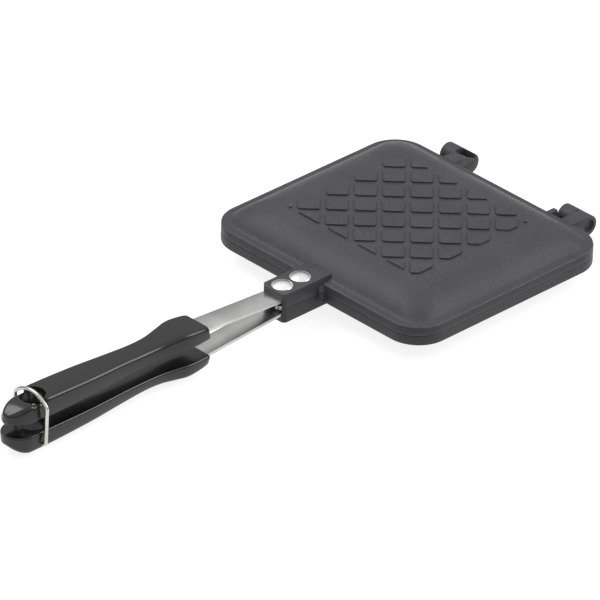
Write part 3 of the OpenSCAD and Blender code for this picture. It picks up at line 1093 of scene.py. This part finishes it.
def body_ring(scene, t, set_in, shift):
    """Ring of a grip's body at a row of its outline, set in all round and shifted to the rear."""
    grip, at = scene.grip_settings, places(scene)
    along, wide, rise = through(GRIP_OUTLINE, t)
    y = at.grip_front - grip.length * along - shift
    half = grip.width / 2 * wide - set_in
    return grip_ring(
        grip,
        y,
        half,
        half - grip.draft,
        inner_face(scene, y) + set_in,
        at.tang_middle + rise - set_in,
    )


def body_rings(scene):
    """Rings of a grip's body, with a rounded front end."""
    grip = scene.grip_settings
    rings = []
    for k in range(EDGE_STEPS + 1):
        a = math.radians(90 * k / EDGE_STEPS)
        set_in = grip.end_round * (1 - math.sin(a))
        rings.append(body_ring(scene, 0, set_in, grip.end_round * (1 - math.cos(a))))
    last = len(GRIP_OUTLINE) - 1
    rings += [
        body_ring(scene, k / OUTLINE_STEPS, 0, 0)
        for k in range(FRONT_STEPS, last * OUTLINE_STEPS + 1)
    ]
    return rings


def nose_rings(scene, start, reach, inner_half, outer_half, outer):
    """Rings that narrow like a quarter of an ellipse and end blunt."""
    grip = scene.grip_settings
    inner = inner_face(scene, start)
    rings = []
    for k in range(NOSE_STEPS + 1):
        s = NOSE_BLUNT * math.sin(math.radians(90 * k / NOSE_STEPS))
        left = math.sqrt(1 - s * s)
        rings.append(
            grip_ring(
                grip,
                start - s * reach,
                inner_half * left,
                outer_half * left,
                inner,
                mix(inner + grip.tip_height, outer, left**NOSE_DROP),
            )
        )
    return rings


def hang_bore(scene):
    """Cutter for the hanging hole of one grip."""
    grip, at = scene.grip_settings, places(scene)
    return new_prism(
        circle(0.0, at.hang, grip.hang_hole / 2), "Z", -OVER, at.parting + OVER
    )


def lower_grip_solid(scene):
    """The lower grip, with its pivots' recesses."""
    grip, bail, at = scene.grip_settings, scene.bail_settings, places(scene)
    start = at.body_end - grip.lower_end
    _, wide, rise = GRIP_OUTLINE[-1]
    half = grip.width / 2 * wide
    rings = body_rings(scene) + nose_rings(
        scene, start, start - at.nose_end, half, half - grip.draft, at.tang_middle + rise
    )
    cutters = [hang_bore(scene)]
    for side in (-1, 1):
        for radius, floor in (
            (bail.recess, bail.recess_floor),
            (bail.wire / 2 + bail.clearance, bail.end - bail.clearance),
        ):
            outline = circle(at.pivot, bail.pivot_depth, radius, steps=TURN_STEPS // 2)
            ends = sorted((side * floor, side * grip.width))
            cutters.append(new_prism(outline, "X", *ends))
    return carved(new_loft(rings), cutters)


def upper_grip_solids(scene):
    """The upper grip: body, neck in the bail's groove, and nose."""
    grip, at = scene.grip_settings, places(scene)
    outer = at.tang_middle + GRIP_OUTLINE[-1][2]
    last = len(GRIP_OUTLINE) - 1
    rings = body_rings(scene)
    for k in range(1, EDGE_STEPS + 1):
        a = math.radians(90 * k / EDGE_STEPS)
        set_in = grip.end_round * (1 - math.cos(a))
        rings.append(body_ring(scene, last, set_in, grip.end_round * (math.sin(a) - 1)))
    # The body's last plain rings would fold over the rounded end
    limit = at.body_end + grip.end_round
    clean = [ring for ring in rings[:-EDGE_STEPS] if ring[0][1] > limit]
    body = new_loft(clean + rings[-EDGE_STEPS:])
    neck_half = grip.neck_width / 2
    neck = new_loft(
        [
            grip_ring(
                grip,
                y,
                neck_half,
                neck_half - grip.draft,
                inner_face(scene, y) + NECK_GAP,
                outer - grip.neck_drop,
            )
            for y in (at.body_end + 2 * OVER, at.nose - OVER)
        ]
    )
    nose_outer = outer - grip.nose_drop
    start = [
        grip_ring(
            grip,
            at.nose + set_back,
            grip.nose_width / 2 - set_in,
            grip.nose_crown / 2 - set_in,
            inner_face(scene, at.nose) + set_in,
            nose_outer - set_in,
        )
        for set_in, set_back in ((NOSE_EDGE, 0.0), (NOSE_EDGE / 3, -NOSE_EDGE / 6))
    ]
    nose = new_loft(
        start
        + nose_rings(
            scene,
            at.nose - NOSE_EDGE,
            grip.nose_length - NOSE_EDGE,
            grip.nose_width / 2,
            grip.nose_crown / 2,
            nose_outer,
        )
    )
    return [carved(part, [hang_bore(scene)]) for part in (body, neck, nose)]


def bail_path(bail):
    """Half of the wire's middle line, from the top of the arch to its end."""
    arch = (bail.half**2 + bail.arch_rise**2) / (2 * bail.arch_rise)
    arch_z = bail.height - arch
    inner = bail.half - bail.corner
    corner_z = arch_z + math.sqrt((arch - bail.corner) ** 2 - inner**2)
    turn = math.degrees(math.atan2(corner_z - arch_z, inner))
    points = circle(0.0, arch_z, arch, 90, turn, TURN_STEPS // 2)
    points += circle(inner, corner_z, bail.corner, turn, 0, TURN_STEPS // 4)[1:]
    points += [(bail.half, mix(corner_z, bail.bend, t / 6)) for t in range(1, 6)]
    points += circle(
        bail.half - bail.bend, bail.bend, bail.bend, 0, -90, TURN_STEPS // 4
    )
    points.append((bail.end, 0.0))
    return points


# ---- Materials ----

# Band that most values of a noise lie in, and narrower bands of it
NOISE_BAND = (0.3, 0.7)
SMUDGE_BAND = (0.35, 0.65)
SPECKLE_BAND = (0.58, 0.74)
RAG_BAND = (0.32, 0.62)
# Least and most of the worn edges that the ragged noise leaves
RAG_LEVELS = (0.35, 1.0)
# Band of the wear attribute, from a plain face to an edge
WEAR_BAND = (0.55, 1.0)

# Noise scales, as features in a metre, and how much finer the speckles are than the grain
SAND_SCALE = 1500.0
SPECKLE_FINER = 1.7
TONE_SCALE = 38.0
SMUDGE_SCALE = 70.0
RIPPLE_SCALE = 900.0
CLOUD_SCALE = 60.0

# Factors of the cast metal's colour, its worn share, and its roughness below and above
CAST_DARK, CAST_LIGHT, CAST_SPECK = 0.86, 1.12, 2.4
CAST_WEAR = 0.55
CAST_ROUGH = (-0.05, 0.08)
CAST_BUMP = (0.55, 0.00022)
# The same for the moulded plastic, with the colour of its rubbed edges
PLASTIC_PALE = 1.9
PLASTIC_WEAR = 0.25
PLASTIC_ROUGH = (-0.05, 0.07)
PLASTIC_BUMP = (0.12, 0.00006)
PLASTIC_IOR = 1.5
PLASTIC_RUBBED = (0.05, 0.05, 0.05)
# Factors of a bare metal's colour where it is smudged and where it is rubbed
METAL_DULL, METAL_BRIGHT = 0.84, 1.45
METAL_BUMP = 0.3
# Bare metals: how the lines are pulled, their scale, the roughness from low to high, the
# lines' depth in metres, and the worn share of the edges
METALS = {
    "Strap steel": ((1.0, 0.02, 1.0), 2600.0, (0.27, 0.33), 0.000008, 0.6),
    "Rivet steel": ((1.0, 1.0, 1.0), 900.0, (0.16, 0.24), 0.000006, 0.0),
    "Bright wire": ((1.0, 1.0, 0.05), 1800.0, (0.18, 0.28), 0.000006, 0.0),
    "Pin steel": ((1.0, 1.0, 1.0), 700.0, (0.34, 0.48), 0.00003, 0.0),
}


def shade(colour, factor=1.0):
    """A colour made darker or lighter, with its alpha."""
    return (*(min(1.0, c * factor) for c in colour), 1.0)


def around(value, reach):
    """The values that lie below and above a value, by a pair of reaches."""
    return tuple(value + part for part in reach)


@once("node_groups", "Cast sand")
def cast_sand_group(name):
    """Sand texture of a casting: fine grain height, light speckles and broad tone."""
    graph, given = new_group(
        "ShaderNodeTree",
        name,
        [("Vector", "Vector"), ("Scale", "Float", SAND_SCALE)],
        [("Height", "Float"), ("Speckle", "Float"), ("Tone", "Float")],
    )
    vector, scale = given["Vector"], given["Scale"]
    specks = graph.noise(vector, graph.math("MULTIPLY", scale, SPECKLE_FINER), 1.0)
    broad = graph.noise(vector, TONE_SCALE, 3.0)
    outputs = {
        "Height": graph.noise(vector, scale, 2.0, 0.6),
        "Speckle": graph.spread(specks, SPECKLE_BAND),
        "Tone": graph.spread(broad, NOISE_BAND),
    }
    graph.add("NodeGroupOutput", outputs)
    return graph.tree


@once("node_groups", "Worn edges")
def worn_edge_group(name):
    """Mask of rubbed edges, from the piece's own wear attribute and a ragged noise."""
    graph, given = new_group(
        "ShaderNodeTree",
        name,
        [("Vector", "Vector"), ("Amount", "Float", 0.5), ("Scale", "Float", 260.0)],
        [("Mask", "Float")],
    )
    rag = graph.noise(given["Vector"], given["Scale"], 3.0)
    core = graph.spread(graph.attribute("wear"), WEAR_BAND)
    mask = graph.math("MULTIPLY", core, graph.spread(rag, RAG_BAND, RAG_LEVELS))
    graph.add("NodeGroupOutput", {"Mask": graph.math("MULTIPLY", mask, given["Amount"])})
    return graph.tree


@once("node_groups", "Drawn metal")
def drawn_metal_group(name):
    """Fine lines along one direction and faint smudges, for drawn or rolled metal."""
    graph, given = new_group(
        "ShaderNodeTree",
        name,
        [
            ("Vector", "Vector"),
            ("Stretch", "Vector", (1.0, 1.0, 1.0)),
            ("Scale", "Float", 2500.0),
        ],
        [("Lines", "Float"), ("Smudge", "Float")],
    )
    vector = given["Vector"]
    pulled = graph.add(
        "ShaderNodeVectorMath", {0: vector, 1: given["Stretch"]}, operation="MULTIPLY"
    )
    outputs = {
        "Lines": graph.noise(pulled["Vector"], given["Scale"], 2.0),
        "Smudge": graph.spread(graph.noise(vector, SMUDGE_SCALE, 3.0), SMUDGE_BAND),
    }
    graph.add("NodeGroupOutput", outputs)
    return graph.tree


def new_material(name):
    """Material with one Principled shader. Gives it, its graph, the shader and the place."""
    material = bpy.data.materials.new(name)
    material.use_nodes = True
    graph = Graph(material.node_tree)
    shader = material.node_tree.nodes["Principled BSDF"]
    return material, graph, shader.inputs, graph.add("ShaderNodeTexCoord")["Object"]


def worn_mask(graph, vector, amount):
    inputs = {"Vector": vector, "Amount": amount}
    return graph.add("ShaderNodeGroup", inputs, node_tree=worn_edge_group())["Mask"]


@once("materials", "Cast metal")
def cast_metal(name, pan):
    material, graph, shader, vector = new_material(name)
    sand = graph.add(
        "ShaderNodeGroup", {"Vector": vector, "Scale": SAND_SCALE}, node_tree=cast_sand_group()
    )
    dark, light = shade(pan.finish, CAST_DARK), shade(pan.finish, CAST_LIGHT)
    base = graph.blend(sand["Tone"], dark, light)
    base = graph.blend(sand["Speckle"], base, shade(pan.finish, CAST_SPECK))
    base = graph.blend(worn_mask(graph, vector, CAST_WEAR), base, shade(pan.worn))
    # Painted shade: the tiles' steep sides are blended toward a near-black colour, like occlusion
    # in the grooves
    base = graph.blend(graph.attribute("crevice"), base, shade(pan.crevice))
    levels = around(pan.roughness, CAST_ROUGH)
    values = {
        "Base Color": base,
        "Roughness": graph.spread(sand["Height"], NOISE_BAND, levels),
        "Specular IOR Level": pan.sheen,
        "Normal": graph.bump(sand["Height"], *CAST_BUMP),
    }
    graph.feed(shader, values)
    return material


def bare_metal(name, finish):
    """Bare metal with fine lines, by its row in the table of metals."""
    if name in bpy.data.materials:
        return bpy.data.materials[name]
    stretch, scale, rough, depth, wear = METALS[name]
    material, graph, shader, vector = new_material(name)
    drawn = graph.add(
        "ShaderNodeGroup",
        {"Vector": vector, "Stretch": stretch, "Scale": scale},
        node_tree=drawn_metal_group(),
    )
    base = graph.blend(drawn["Smudge"], shade(finish, METAL_DULL), shade(finish))
    if wear:
        base = graph.blend(worn_mask(graph, vector, wear), base, shade(finish, METAL_BRIGHT))
    values = {
        "Base Color": base,
        "Roughness": graph.spread(drawn["Lines"], NOISE_BAND, rough),
        "Metallic": 1.0,
        "Normal": graph.bump(drawn["Lines"], METAL_BUMP, depth),
    }
    graph.feed(shader, values)
    return material


@once("materials", "Moulded plastic")
def moulded_plastic(name, grip):
    material, graph, shader, vector = new_material(name)
    cloud = graph.noise(vector, CLOUD_SCALE, 3.0)
    base = graph.blend(cloud, shade(grip.finish), shade(grip.finish, PLASTIC_PALE))
    base = graph.blend(worn_mask(graph, vector, PLASTIC_WEAR), base, shade(PLASTIC_RUBBED))
    levels = around(grip.roughness, PLASTIC_ROUGH)
    values = {
        "Base Color": base,
        "Roughness": graph.spread(cloud, NOISE_BAND, levels),
        "IOR": PLASTIC_IOR,
        "Normal": graph.bump(graph.noise(vector, RIPPLE_SCALE, 2.0), *PLASTIC_BUMP),
    }
    graph.feed(shader, values)
    return material


# ---- Operators ----

# The two bodies that are built alike, and whether each is the upper one
HALVES = (("lower", False), ("upper", True))

# Camera fitted to the photograph's view: azimuth, elevation and roll in degrees
CAMERA_ANGLES = (45.134, 30.781, 1.686)
CAMERA_PLACE = (2.41008, -2.47272, 2.03595)
CAMERA_LENS = 481.09
CAMERA_SENSOR = 36.0
CAMERA_REACH = 20.0
# Place and size of each lamp. The stage's settings hold its power under the same name
LAMPS = {
    "Key": ((-0.75, -0.35, 1.25), 1.0),
    "Fill": ((0.95, -0.9, 0.7), 0.8),
    "Rim": ((0.70, 0.75, 0.85), 0.8),
}
LAMP_AIM = (0.0, -0.09, 0.0)
FLOOR_HALF = 6.0
# Heights of the sky's direction from which it goes from the horizon's level to its own
SKY_BAND = (-0.1, 0.8)
WHITE = (1.0, 1.0, 1.0)


class SANDWICH_IRON_OT_pans(bpy.types.Operator):
    """Build the two cast pans with their lattices, sockets and hinge halves"""

    bl_idname = "sandwich_iron.pans"
    bl_label = "Build the pans"

    def execute(self, context):
        scene = context.scene
        pan = scene.pan_settings
        material = cast_metal(pan)
        hinges = {
            "upper": [right_ear(scene), left_ear(scene), lug_solid(scene)],
            "lower": barrel_solids(scene),
        }
        for body, upper in HALVES:
            count = UPPER_TILES if upper else LOWER_TILES
            parts = [crown_shell(pan), lattice_solid(scene, material, count)]
            parts += [soften(part, pan.edge_round) for part in hinges[body]]
            parts += socket_solid(scene)
            if upper:
                parts += corner_marks(scene)
            mesh = half_mesh(gather(parts), body + "_pan", upper)
            # Marks the tiles' sides where the cast metal paints shade
            mark_painted_shade(mesh, scene)
            name = body.capitalize() + "_pan_casting"
            finish_piece(name, mesh, material, body, [body + "_pan"])
        return {"FINISHED"}


class SANDWICH_IRON_OT_pins(bpy.types.Operator):
    """Finish the two stub pins of the hinges, which keep their own shape"""

    bl_idname = "sandwich_iron.pins"
    bl_label = "Finish the pins"

    def execute(self, context):
        material = bare_metal("Pin steel", context.scene.hinge_settings.finish)
        for node in ("right_hinge_pin", "left_hinge_pin"):
            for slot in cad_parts[node].material_slots:
                slot.material = material
        return {"FINISHED"}


class SANDWICH_IRON_OT_straps(bpy.types.Operator):
    """Build the two flat steel straps"""

    bl_idname = "sandwich_iron.straps"
    bl_label = "Build the straps"

    def execute(self, context):
        scene = context.scene
        material = bare_metal("Strap steel", scene.strap_settings.finish)
        for body, upper in HALVES:
            mesh = half_mesh(strap_solid(scene), body + "_strap", upper)
            name = body.capitalize() + "_flat_strap"
            finish_piece(name, mesh, material, body, [body + "_strap"])
        return {"FINISHED"}


class SANDWICH_IRON_OT_rivets(bpy.types.Operator):
    """Build the rows of domed rivets"""

    bl_idname = "sandwich_iron.rivets"
    bl_label = "Build the rivets"

    def execute(self, context):
        scene = context.scene
        rivet = scene.rivet_settings
        material = bare_metal("Rivet steel", rivet.finish)
        one = temporary(rivet_solid(scene), "rivet")
        values = {
            "Rivet": one,
            "Count": rivet.count,
            "Start": (0.0, places(scene).first_rivet, 0.0),
            "Pitch": (0.0, -rivet.pitch, 0.0),
            "Material": material,
        }
        for body, upper in HALVES:
            row = grown(bmesh.new(), rivet_tree(), values)
            mesh = half_mesh(row, body + "_rivets", upper)
            nodes = [f"{body}_front_rivet", f"{body}_rear_rivet"]
            name = body.capitalize() + "_rivet_row"
            finish_piece(name, mesh, material, body, nodes)
        discard(one)
        return {"FINISHED"}


class SANDWICH_IRON_OT_grips(bpy.types.Operator):
    """Build the two moulded grips"""

    bl_idname = "sandwich_iron.grips"
    bl_label = "Build the grips"

    def execute(self, context):
        scene = context.scene
        material = moulded_plastic(scene.grip_settings)
        for body, upper in HALVES:
            solids = upper_grip_solids(scene) if upper else [lower_grip_solid(scene)]
            mesh = half_mesh(gather(solids), body + "_grip", upper)
            name = body.capitalize() + "_moulded_grip"
            finish_piece(name, mesh, material, body, [body + "_grip"])
        return {"FINISHED"}


class SANDWICH_IRON_OT_bail(bpy.types.Operator):
    """Build the wire bail in its closed place"""

    bl_idname = "sandwich_iron.bail"
    bl_label = "Build the bail"

    def execute(self, context):
        scene = context.scene
        bail, at = scene.bail_settings, places(scene)
        half = bail_path(bail)
        line = [(-x, z) for x, z in reversed(half)] + half[1:]
        path = bmesh.new()
        verts = [path.verts.new((x, 0.0, z)) for x, z in line]
        for a, b in zip(verts, verts[1:]):
            path.edges.new((a, b))
        material = bare_metal("Bright wire", bail.finish)
        values = {"Radius": bail.wire / 2, "Sides": TURN_STEPS // 2, "Material": material}
        wire = grown(path, wire_tree(), values)
        mesh = bpy.data.meshes.new("bail")
        wire.to_mesh(mesh)
        wire.free()
        pivot = Vector((0.0, at.pivot, at.parting - bail.pivot_depth))
        mesh.transform(Matrix.Translation(pivot) @ Matrix.Rotation(-bail.lean, 4, "X"))
        finish_piece("Wire_bail", mesh, material, "bail", ["bail"])
        return {"FINISHED"}


class SANDWICH_IRON_OT_stage(bpy.types.Operator):
    """Set the camera, the lamps, the world and the floor"""

    bl_idname = "sandwich_iron.stage"
    bl_label = "Set the stage"

    def execute(self, context):
        scene = context.scene
        stage = scene.stage_settings
        scene.view_settings.view_transform = "Standard"
        self.add_camera(scene)
        for name, (spot, size) in LAMPS.items():
            self.add_lamp(scene, name, spot, size, getattr(stage, name.lower()))
        self.add_world(scene, stage)
        self.add_floor(scene, stage)
        return {"FINISHED"}

    def add_camera(self, scene):
        """Camera fitted to the photograph's view, without shift."""
        azimuth, elevation, roll = (math.radians(a) for a in CAMERA_ANGLES)
        across = math.cos(elevation)
        back = Vector(
            (math.sin(azimuth) * across, -math.cos(azimuth) * across, math.sin(elevation))
        )
        level = Vector((math.cos(azimuth), math.sin(azimuth), 0.0))
        upright = back.cross(level)
        right = level * math.cos(roll) + upright * math.sin(roll)
        up = upright * math.cos(roll) - level * math.sin(roll)
        data = bpy.data.cameras.new("Camera")
        data.sensor_width = CAMERA_SENSOR
        data.lens = CAMERA_LENS
        data.clip_end = CAMERA_REACH
        camera = bpy.data.objects.new("Camera", data)
        turn = Matrix((right, up, back)).transposed().to_4x4()
        camera.matrix_world = Matrix.Translation(CAMERA_PLACE) @ turn
        scene.collection.objects.link(camera)
        scene.camera = camera

    def add_lamp(self, scene, name, spot, size, power):
        data = bpy.data.lights.new(name, "AREA")
        data.shape = "DISK"
        data.size = size
        data.energy = power
        lamp = bpy.data.objects.new(name, data)
        aim = Vector(LAMP_AIM) - Vector(spot)
        turn = aim.to_track_quat("-Z", "Y").to_matrix().to_4x4()
        lamp.matrix_world = Matrix.Translation(spot) @ turn
        scene.collection.objects.link(lamp)

    def add_world(self, scene, stage):
        """White where the camera sees it, and a soft sky that is darker at the sides."""
        world = bpy.data.worlds.new("Sky")
        world.use_nodes = True
        graph = Graph(world.node_tree)
        direction = graph.add("ShaderNodeTexCoord")["Generated"]
        height = graph.add("ShaderNodeSeparateXYZ", {"Vector": direction})["Z"]
        level = graph.spread(height, SKY_BAND, (stage.horizon, stage.sky))
        seen = graph.add("ShaderNodeLightPath")["Is Camera Ray"]
        values = {"Color": shade(WHITE), "Strength": graph.math("MAXIMUM", level, seen)}
        graph.feed(world.node_tree.nodes["Background"].inputs, values)
        scene.world = world

    def add_floor(self, scene, stage):
        """White floor that keeps the shadow: it is lifted only where it is seen."""
        bm = bmesh.new()
        bmesh.ops.create_grid(bm, x_segments=1, y_segments=1, size=FLOOR_HALF)
        mesh = bpy.data.meshes.new("Floor")
        bm.to_mesh(mesh)
        bm.free()
        material = bpy.data.materials.new("White floor")
        material.use_nodes = True
        material.node_tree.nodes.clear()
        graph = Graph(material.node_tree)
        path = graph.add("ShaderNodeLightPath")
        seen = path["Is Camera Ray"]
        for ray in ("Is Glossy Ray", "Is Transmission Ray"):
            seen = graph.math("MAXIMUM", seen, path[ray])
        lift = graph.math("MULTIPLY", seen, stage.lift)
        diffuse = graph.add("ShaderNodeBsdfDiffuse", {"Color": shade(WHITE, stage.floor)})
        glow = graph.add("ShaderNodeEmission", {"Strength": lift})
        both = graph.add("ShaderNodeAddShader", {0: diffuse["BSDF"], 1: glow["Emission"]})
        graph.add("ShaderNodeOutputMaterial", {"Surface": both["Shader"]})
        mesh.materials.append(material)
        floor = bpy.data.objects.new("Floor", mesh)
        scene.collection.objects.link(floor)


class SANDWICH_IRON_PT_sidebar(bpy.types.Panel):
    """Lists the pieces of the sandwich iron and their settings"""

    bl_idname = "SANDWICH_IRON_PT_sidebar"
    bl_label = "Sandwich Iron"
    bl_space_type = "VIEW_3D"
    bl_region_type = "UI"
    bl_category = "Sandwich Iron"

    def draw(self, context):
        for operator in OPERATORS:
            self.layout.operator(operator.bl_idname)
        for name in SETTINGS:
            box = self.layout.box()
            settings = getattr(context.scene, name)
            for key in settings.__annotations__:
                box.prop(settings, key)


SETTINGS = {
    "pan_settings": PanSettings,
    "lattice_settings": LatticeSettings,
    "socket_settings": SocketSettings,
    "hinge_settings": HingeSettings,
    "strap_settings": StrapSettings,
    "rivet_settings": RivetSettings,
    "grip_settings": GripSettings,
    "bail_settings": BailSettings,
    "stage_settings": StageSettings,
}

OPERATORS = (
    SANDWICH_IRON_OT_stage,
    SANDWICH_IRON_OT_pans,
    SANDWICH_IRON_OT_pins,
    SANDWICH_IRON_OT_straps,
    SANDWICH_IRON_OT_rivets,
    SANDWICH_IRON_OT_grips,
    SANDWICH_IRON_OT_bail,
)


def register():
    for name, kind in SETTINGS.items():
        bpy.utils.register_class(kind)
        setattr(bpy.types.Scene, name, PointerProperty(type=kind))
    for operator in OPERATORS:
        bpy.utils.register_class(operator)
    bpy.utils.register_class(SANDWICH_IRON_PT_sidebar)


def unregister():
    bpy.utils.unregister_class(SANDWICH_IRON_PT_sidebar)
    for operator in reversed(OPERATORS):
        bpy.utils.unregister_class(operator)
    for name, kind in SETTINGS.items():
        delattr(bpy.types.Scene, name)
        bpy.utils.unregister_class(kind)


def main():
    register()
    bpy.ops.sandwich_iron.stage()
    bpy.ops.sandwich_iron.pans()
    bpy.ops.sandwich_iron.pins()
    bpy.ops.sandwich_iron.straps()
    bpy.ops.sandwich_iron.rivets()
    bpy.ops.sandwich_iron.grips()
    bpy.ops.sandwich_iron.bail()


if __name__ == "__main__":
    main()
